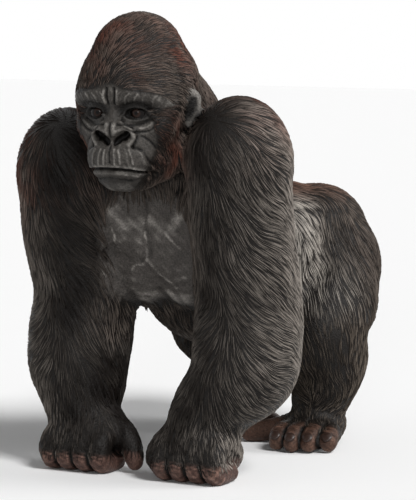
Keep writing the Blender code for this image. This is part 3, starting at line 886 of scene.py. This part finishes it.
def strand_paint(deep, tips, brush):
    """A colour for each of a strand's points: dark at root and edges, brushed on the crest."""
    rows = [deep * ROOT_SHADE]
    for share in RING_BRUSH:
        edge = blend(deep, tips, EDGE_BRUSH * brush)
        rows += [edge, blend(deep, tips, share * brush), edge]
    rows.append(blend(deep, tips, END_BRUSH * brush))
    return np.stack(rows, axis=1)


print("Rust is brushed round", len(RUSTY_PLACES), "places")

# %% [markdown]
# Near the face, hands and feet the strands are shorter and finer, as carved hair is. Every strand
# gets its own length, width and height from a random draw, as no two strokes of the tool are alike.

# %% Grow the coat
# Region, strands, and in millimetres the cell of a root, then length, width and height of a strand.
COAT = {
    "fur_head": (0, 8600, 1.10, 13.0, 0.80, 0.85),
    "fur_left_arm": (1, 10200, 1.30, 19.0, 0.80, 0.85),
    "fur_right_arm": (2, 9800, 1.35, 19.0, 0.80, 0.85),
    "fur_body": (3, 9600, 1.45, 18.0, 0.80, 0.80),
    "fur_legs": (4, 6600, 1.55, 17.0, 0.85, 0.80),
}


def shortness(points):
    """The share of their full length that strands have, less near the face, ears, hands and feet."""
    x, y, z = into(HEAD, points).T
    ear = np.sqrt((np.abs(x) - 44) ** 2 + ((y + 12) / 1.1) ** 2 + (z / 1.5) ** 2)
    face = np.sqrt((x / 1.1) ** 2 + ((z + 24) / 1.5) ** 2 + ((y + 52) / 1.3) ** 2)
    near_face = smoothstep(20, 48, face) * (0.35 + 0.65 * smoothstep(7, 17, ear))
    height = on_drawing(points)[:, 2]
    return (0.45 + 0.55 * near_face) * (0.45 + 0.55 * smoothstep(16, 75, height))


def grown(name, region, wanted, cell, length, width, lift):
    """One piece of the coat as an object."""
    dice = np.random.default_rng(100 + region)
    roots, normals = scattered(region, wanted, cell * MM, dice)
    short = shortness(roots)
    lengths = length * MM * short * dice.uniform(0.75, 1.2, len(roots))
    widths = width * MM * np.sqrt(short) * dice.uniform(0.8, 1.2, len(roots))
    lifts = lift * MM * np.sqrt(short) * dice.uniform(0.45, 1.35, len(roots))
    paths, facing = trace(roots, normals, lengths)
    points = strand_points(gathered(paths), facing, widths, lifts)
    count = points.shape[1]
    faces = STRAND_FACES[None] + count * np.arange(len(roots))[:, None, None]
    mesh = bpy.data.meshes.new(name)
    mesh.from_pydata(points.reshape(-1, 3), [], faces.reshape(-1, 3))
    paint(mesh, strand_paint(*coat_colours(roots, normals, dice)).reshape(-1, 3))
    columns = int(np.ceil(np.sqrt(len(roots))))
    corner = np.stack([np.arange(len(roots)) % columns, np.arange(len(roots)) // columns], axis=1)
    places = (STRAND_PLACES[None] + corner[:, None, None]) / columns
    mesh.uv_layers.new(name="OFBake").uv.foreach_set("vector", places.astype(np.float32).ravel())
    mesh.shade_smooth()
    obj = bpy.data.objects.new(name, mesh)
    bpy.context.scene.collection.objects.link(obj)
    print(name, len(roots), "strands,", len(mesh.polygons), "triangles")
    return obj


coat = [grown(name, *values) for name, values in COAT.items()]

# %% [markdown]
# ## Eyes
#
# The painted eyes get a coat of gloss varnish, so here they are separate balls in the sockets. The
# iris is a ring of dark red-brown round a black pupil, found by the angle from the line of sight.

# %% Eyes
EYE_RADIUS = 7.6
EYE_RINGS = 28
EYE_PLACE = (16.4, -46.4, -4.2)
GAZE = np.array((sin(radians(8)), -cos(radians(8)), -0.02))
PUPIL, IRIS_EDGE = 12, 25
IRIS, EYEBALL = linear("#2b1c16"), linear("#0c0908")


def balls(name, places, radii, colour_of, rings):
    """One object of ellipsoids: places are frames, and colour_of gives colours for unit directions."""
    shape = bmesh.new()
    bmesh.ops.create_uvsphere(shape, u_segments=2 * rings, v_segments=rings, radius=1)
    unit = np.array([v.co for v in shape.verts])
    faces = [[v.index for v in f.verts] for f in shape.faces]
    shape.free()
    points, rows, colours = [], [], []
    for k, place in enumerate(places):
        place = np.array(place)
        points.append((unit * radii) @ place[:3, :3].T + place[:3, 3])
        flipped = np.linalg.det(place[:3, :3]) < 0
        rows += [[i + k * len(unit) for i in (reversed(f) if flipped else f)] for f in faces]
        colours.append(colour_of(unit))
    mesh = bpy.data.meshes.new(name)
    mesh.from_pydata(np.concatenate(points), [], rows)
    paint(mesh, np.concatenate(colours))
    mesh.shade_smooth()
    obj = bpy.data.objects.new(name, mesh)
    bpy.context.scene.collection.objects.link(obj)
    return obj


def eye_colours(directions):
    """Pupil, iris and dark eyeball by the angle from the line of sight."""
    angle = np.degrees(np.arccos(np.clip(directions @ GAZE / np.linalg.norm(GAZE), -1, 1)))
    pupil = np.tile(EYEBALL * 0.3, (len(directions), 1))
    colours = blend(pupil, IRIS, smoothstep(PUPIL - 2, PUPIL + 2, angle))
    colours = blend(colours, IRIS * 0.6, smoothstep(PUPIL + 8, IRIS_EDGE, angle))
    return blend(colours, EYEBALL, smoothstep(IRIS_EDGE - 1, IRIS_EDGE + 2, angle))


EYE_FRAMES = [HEAD @ Matrix.Translation((side * EYE_PLACE[0], *EYE_PLACE[1:])) for side in (1, -1)]
eyes = balls("eyes", EYE_FRAMES, (EYE_RADIUS,) * 3, eye_colours, EYE_RINGS)
print("Eyes:", len(eyes.data.polygons), "faces")

# %% [markdown]
# ## Toenails
#
# A nail is a flat plate that bulges a little, so a low ellipsoid sunk in the toe is enough. It leans
# with the front of the toe and takes the paint of the toes, a little darker and smoother. The big
# toe stands off to the inside, so its nail has a place and a lean of its own.

# %% Toenails
TOE_FRONT = 42.6
TOE_REACH = (2, 6, 3, -4)
NAIL_HEIGHT, NAIL_LEAN = 14.2, 48
BIG_NAIL, BIG_NAIL_LEANS = (-59, -9.5, 13.4), (-30, 30)
NAIL_RADII = (4.6, 4.4, 1.7)
NAIL_RINGS = 12
NAIL_COLOUR = linear("#2e211c")


def nail_frames():
    """Where the toenails lie: on the front slope of each toe."""
    frames = []
    inward, forward = BIG_NAIL_LEANS
    for side in (1, -1):
        foot = foot_frame(side)
        for x, reach in zip(TOES, TOE_REACH):
            frames.append(foot @ Matrix.Translation((x, -TOE_FRONT - reach, NAIL_HEIGHT))
                          @ Matrix.Rotation(radians(NAIL_LEAN), 4, "X"))
        frames.append(foot @ Matrix.Translation(BIG_NAIL) @ Matrix.Rotation(radians(inward), 4, "Y")
                      @ Matrix.Rotation(radians(forward), 4, "X"))
    return frames


def nail_colours(directions):
    """One colour all over."""
    return np.tile(NAIL_COLOUR, (len(directions), 1))


nails = balls("toenails", nail_frames(), NAIL_RADII, nail_colours, NAIL_RINGS)
print("Toenails:", len(nails.data.polygons), "faces")

# %% [markdown]
# ## Finishes
#
# All finishes read the painted colour of the points. Hand-painted polyresin is satin: the skin has
# a fine leathery grain, the coat keeps the brush's dry, matt touch, and the varnished eyes shine. One
# function builds them all, since they differ only in roughness, shine, speckle and grain.

# %% Finishes
def add(tree, kind, links=(), **values):
    """Adds a shader node with these input values, and links its inputs to sockets."""
    node = tree.nodes.new(kind)
    for key, value in values.items():
        node.inputs[key.replace("_", " ")].default_value = value
    for key, socket in links:
        tree.links.new(socket, node.inputs[key])
    return node


def painted(name, roughness, shine, speckle, grain_mm, relief_mm):
    """Acrylic paint on polyresin: stored colours, a fine speckle in them and a grain in relief."""
    material = bpy.data.materials.new(name)
    material.use_nodes = True
    tree = material.node_tree
    tree.nodes.clear()
    colour = add(tree, "ShaderNodeAttribute")
    colour.attribute_name = "paint"
    where = add(tree, "ShaderNodeTexCoord")
    grain = add(tree, "ShaderNodeTexNoise", [("Vector", where.outputs["Object"])],
                Scale=1 / (grain_mm * MM), Detail=3.0)
    shade = add(tree, "ShaderNodeMapRange", [("Value", grain.outputs["Fac"])],
                From_Min=0.3, From_Max=0.7, To_Min=1 - speckle, To_Max=1 + speckle)
    scaled = add(tree, "ShaderNodeVectorMath", [(0, colour.outputs["Color"]), (3, shade.outputs[0])])
    scaled.operation = "SCALE"
    bump = add(tree, "ShaderNodeBump", [("Height", grain.outputs["Fac"])], Distance=relief_mm * MM)
    shader = add(tree, "ShaderNodeBsdfPrincipled",
                 [("Base Color", scaled.outputs[0]), ("Normal", bump.outputs[0])],
                 Roughness=roughness, Specular_IOR_Level=shine)
    add(tree, "ShaderNodeOutputMaterial", [("Surface", shader.outputs[0])])
    return material


skin = bpy.data.objects.new("skin", skin_mesh)
bpy.context.scene.collection.objects.link(skin)
skin_mesh.shade_smooth()
FINISHES = {
    skin.name: painted("hand-painted polyresin, leathery skin", 0.45, 0.14, 0.40, 1.4, 0.8),
    eyes.name: painted("gloss varnish over painted eyes", 0.05, 0.13, 0.05, 1.0, 0.0),
    nails.name: painted("hand-painted polyresin, nails", 0.35, 0.30, 0.10, 0.8, 0.05),
}
coat_finish = painted("dry-brushed polyresin, coat", 0.50, 0.07, 0.18, 0.9, 0.10)
for piece in (skin, eyes, nails, *coat):
    piece.data.materials.append(FINISHES.get(piece.name, coat_finish))
    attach(piece, "root")
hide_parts("gorilla")
print("Finishes:", [material.name for material in bpy.data.materials])

# %% [markdown]
# ## Studio
#
# A pale floor and an even white surround show the outline. A soft key lamp from the upper right
# gives the light of the photograph, a broader one behind it catches the edges of the coat, and a
# small weak one in front puts a point of light on the eyes.

# %% Stage and light
FLOOR_SIZE = 12.0
FLOOR_COLOUR, FLOOR_ROUGHNESS = (0.94, 0.94, 0.94, 1), 0.9
AMBIENT = 0.22

# Where each lamp shines from, its strength, and the angle it fills in degrees.
LAMPS = {"key": ((1.1, -0.5, 1.15), 2.6, 20), "rim": ((1.2, 0.6, 0.7), 1.2, 30),
         "catch light": ((0.45, -1.0, 0.22), 0.4, 9)}


def aimed_from(direction):
    """The rotation that points a lamp or camera at the origin from this direction."""
    return (-Vector(direction)).to_track_quat("-Z", "Y").to_euler()


def backdrop_world():
    """White behind the figure for the camera, and an even dimmer light on it."""
    world = bpy.data.worlds.new("studio")
    world.use_nodes = True
    tree = world.node_tree
    tree.nodes.clear()
    path = add(tree, "ShaderNodeLightPath")
    seen = add(tree, "ShaderNodeMath", [(0, path.outputs["Is Camera Ray"]),
                                        (1, path.outputs["Is Glossy Ray"])])
    seen.operation = "MAXIMUM"
    strength = add(tree, "ShaderNodeMapRange", [("Value", seen.outputs[0])], To_Min=AMBIENT, To_Max=1.0)
    light = add(tree, "ShaderNodeBackground", [("Strength", strength.outputs[0])], Color=(1, 1, 1, 1))
    add(tree, "ShaderNodeOutputWorld", [("Surface", light.outputs[0])])
    return world


def floor_plane():
    """A broad white floor just under the soles."""
    mesh = bpy.data.meshes.new("floor")
    half = FLOOR_SIZE / 2
    mesh.from_pydata([(-half, -half, 0), (half, -half, 0), (half, half, 0), (-half, half, 0)],
                     [], [(0, 1, 2, 3)])
    material = bpy.data.materials.new("white paper sweep")
    material.use_nodes = True
    shader = material.node_tree.nodes["Principled BSDF"]
    shader.inputs["Base Color"].default_value = FLOOR_COLOUR
    shader.inputs["Roughness"].default_value = FLOOR_ROUGHNESS
    mesh.materials.append(material)
    floor = bpy.data.objects.new("floor", mesh)
    bpy.context.scene.collection.objects.link(floor)
    return floor


floor_plane()
bpy.context.scene.world = backdrop_world()
for name, (direction, strength, softness) in LAMPS.items():
    lamp = bpy.data.lights.new(name, "SUN")
    lamp.energy = strength
    lamp.angle = radians(softness)
    stand = bpy.data.objects.new(name, lamp)
    stand.rotation_euler = aimed_from(direction)
    bpy.context.scene.collection.objects.link(stand)
print("Lamps:", list(LAMPS))

# %% [markdown]
# ## Camera
#
# The photograph looks from the gorilla's front left, a little from above and from a few steps away.
# A long lens keeps the near fist from swelling. Its length follows from the distance and from how
# many pixels of the picture a metre takes up at the gorilla.

# %% Camera
CAMERA_AZIMUTH, CAMERA_ELEVATION, CAMERA_DISTANCE = 30, 6, 2.2
LOOK_AT = DRAWING_TO_FRAME + Vector((0.0374, 0.0216, 0.180))
PIXELS_PER_METRE, PICTURE_HEIGHT, SENSOR = 1250, 500, 36

azimuth, elevation = radians(CAMERA_AZIMUTH), radians(CAMERA_ELEVATION)
away = Vector((sin(azimuth) * cos(elevation), -cos(azimuth) * cos(elevation), sin(elevation)))
camera = bpy.data.objects.new("camera", bpy.data.cameras.new("camera"))
camera.location = LOOK_AT + away * CAMERA_DISTANCE
camera.rotation_euler = aimed_from(away)
camera.data.lens = SENSOR * PIXELS_PER_METRE * CAMERA_DISTANCE / PICTURE_HEIGHT
bpy.context.scene.collection.objects.link(camera)
bpy.context.scene.camera = camera
bpy.context.scene.view_settings.view_transform = "Standard"
print("Camera", [round(v, 3) for v in camera.location], "with a lens of", round(camera.data.lens), "mm")
